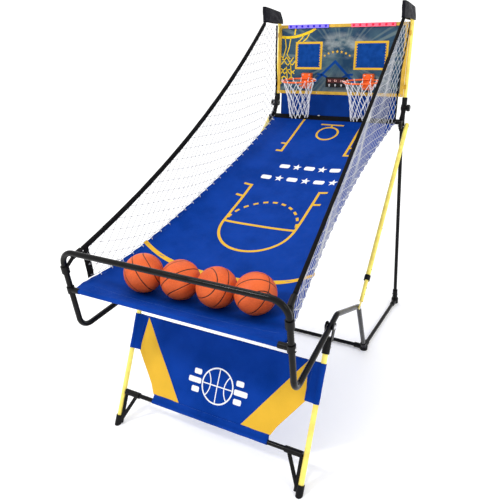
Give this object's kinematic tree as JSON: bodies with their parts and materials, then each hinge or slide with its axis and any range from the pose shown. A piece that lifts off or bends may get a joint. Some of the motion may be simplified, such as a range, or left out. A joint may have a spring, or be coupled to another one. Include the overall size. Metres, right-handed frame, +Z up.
{
  "type": "folding two-player basketball hoop machine",
  "caption": "Bent-tube arcade frame with a cloth ramp and ball tray, side nets, twin rims on a backboard, scorer, lights and balls.",
  "frame": {"origin": "on the floor, at the middle of the footprint's width and depth", "axes": "+Z up, +Y away from the player towards the backboard, +X to the player's right"},
  "size_m": [1.0924, 1.935, 1.897],
  "materials": {
    "black_tube": "satin powder coat",
    "yellow_tube": "gloss paint",
    "black_plastic": "fine texture",
    "fasteners": "zinc plated",
    "ramp_fabric": "coated polyester",
    "banner_fabric": "printed polyester",
    "black_fabric": "woven polyester",
    "net_cord": "braided cord",
    "board_panel": "printed panel",
    "board_yellow": "gloss",
    "lamp_strip": "translucent",
    "scorer_plastic": "fine texture",
    "scorer_window": "smoked",
    "circuit": "solder mask",
    "button_plastic": "gloss",
    "rim_orange": "gloss paint",
    "bracket_orange": "moulded",
    "ball_rubber": "pebbled"
  },
  "bodies": {
    "stand": {"front_loop": "black_tube", "mid_leg_left": "black_tube", "mid_leg_right": "black_tube", "base_crossbar": "black_tube", "base_sides": "black_tube", "mid_feet": "black_plastic", "rear_feet": "black_plastic", "rear_post_left": "black_tube", "rear_post_right": "black_tube", "strut_left": "yellow_tube", "strut_right": "yellow_tube", "strut_collars": "black_plastic", "corner_brackets": "black_plastic", "ramp_rear_bar": "black_tube", "upright_hinges": "black_plastic", "upright_left": "yellow_tube", "upright_right": "yellow_tube", "tray_bar": "black_tube", "tray_bar_hinges": "black_plastic", "rail_clamps": "black_plastic", "net_pole_left": "black_plastic", "net_pole_right": "black_plastic", "pockets": "black_fabric", "side_net_left": "net_cord", "side_net_right": "net_cord", "ramp_cloth": "ramp_fabric", "back_cloth": "ramp_fabric", "backboard": "board_panel", "board_frame": "board_yellow", "light_strips": "lamp_strip", "scorer_housing": "scorer_plastic", "scorer_lens": "scorer_window", "circuit_board": "circuit", "rim_left": "rim_orange", "rim_right": "rim_orange", "rim_brackets": "bracket_orange", "rim_net_left": "net_cord", "rim_net_right": "net_cord", "frame_bolts": "fasteners"},
    "leg_frame": {"leg_left": "yellow_tube", "leg_right": "yellow_tube", "leg_joints": "black_plastic", "leg_crossbar": "black_tube", "leg_feet": "black_plastic", "banner": "banner_fabric"},
    "lock_pin_left": {"lock_pin_left": "fasteners"},
    "lock_pin_right": {"lock_pin_right": "fasteners"},
    "knob_left": {"knob_left": "black_plastic"},
    "knob_right": {"knob_right": "black_plastic"},
    "paddle_left": {"paddle_left": "bracket_orange"},
    "paddle_right": {"paddle_right": "bracket_orange"},
    "button_power": {"button_power": "button_plastic"},
    "button_mode": {"button_mode": "button_plastic"},
    "button_players": {"button_players": "button_plastic"},
    "battery_door": {"battery_door": "scorer_plastic"},
    "ball_1": {"ball_1": "ball_rubber"},
    "ball_2": {"ball_2": "ball_rubber"},
    "ball_3": {"ball_3": "ball_rubber"},
    "ball_4": {"ball_4": "ball_rubber"}
  },
  "joints": [
    {"name": "leg_fold", "type": "hinge", "parent": "stand", "child": "leg_frame", "pos_m": [0, -0.497, 0.64557], "axis": [1, 0, 0], "range_deg": [0, 82]},
    {"name": "lock_pin_left_press", "type": "slide", "parent": "leg_frame", "child": "lock_pin_left", "axis": [1, 0, 0], "range_m": [0, 0.004], "stiffness_N_per_m": 600, "springref_m": -0.004},
    {"name": "lock_pin_right_press", "type": "slide", "parent": "leg_frame", "child": "lock_pin_right", "axis": [-1, 0, 0], "range_m": [0, 0.004], "stiffness_N_per_m": 600, "springref_m": -0.004},
    {"name": "knob_left_turn", "type": "hinge", "parent": "stand", "child": "knob_left", "pos_m": [-0.41, 0.8736, 1.3244], "axis": [-1, 0, 0], "continuous": true},
    {"name": "knob_right_turn", "type": "hinge", "parent": "stand", "child": "knob_right", "pos_m": [0.41, 0.8736, 1.3244], "axis": [1, 0, 0], "continuous": true},
    {"name": "paddle_left_swing", "type": "hinge", "parent": "stand", "child": "paddle_left", "pos_m": [-0.195, 0.84627, 1.448], "axis": [1, 0, 0], "range_deg": [0, 32], "stiffness_Nm_per_rad": 0.03, "springref_deg": -22.92},
    {"name": "paddle_right_swing", "type": "hinge", "parent": "stand", "child": "paddle_right", "pos_m": [0.195, 0.84627, 1.448], "axis": [1, 0, 0], "range_deg": [0, 32], "stiffness_Nm_per_rad": 0.03, "springref_deg": -22.92},
    {"name": "button_power_press", "type": "slide", "parent": "stand", "child": "button_power", "axis": [0, 0.9917, -0.1288], "range_m": [0, 0.0015], "stiffness_N_per_m": 400, "springref_m": -0.001},
    {"name": "button_mode_press", "type": "slide", "parent": "stand", "child": "button_mode", "axis": [0, 0.9917, -0.1288], "range_m": [0, 0.0015], "stiffness_N_per_m": 400, "springref_m": -0.001},
    {"name": "button_players_press", "type": "slide", "parent": "stand", "child": "button_players", "axis": [0, 0.9917, -0.1288], "range_m": [0, 0.0015], "stiffness_N_per_m": 400, "springref_m": -0.001},
    {"name": "battery_door_pull", "type": "slide", "parent": "stand", "child": "battery_door", "axis": [1, 0, 0], "range_m": [0, 0.03]},
    {"name": "ball_1_lift", "type": "slide", "parent": "stand", "child": "ball_1", "axis": [0, 0, 1], "range_m": [0, 0.5]},
    {"name": "ball_2_lift", "type": "slide", "parent": "stand", "child": "ball_2", "axis": [0, 0, 1], "range_m": [0, 0.5]},
    {"name": "ball_3_lift", "type": "slide", "parent": "stand", "child": "ball_3", "axis": [0, 0, 1], "range_m": [0, 0.5]},
    {"name": "ball_4_lift", "type": "slide", "parent": "stand", "child": "ball_4", "axis": [0, 0, 1], "range_m": [0, 0.5]}
  ]
}
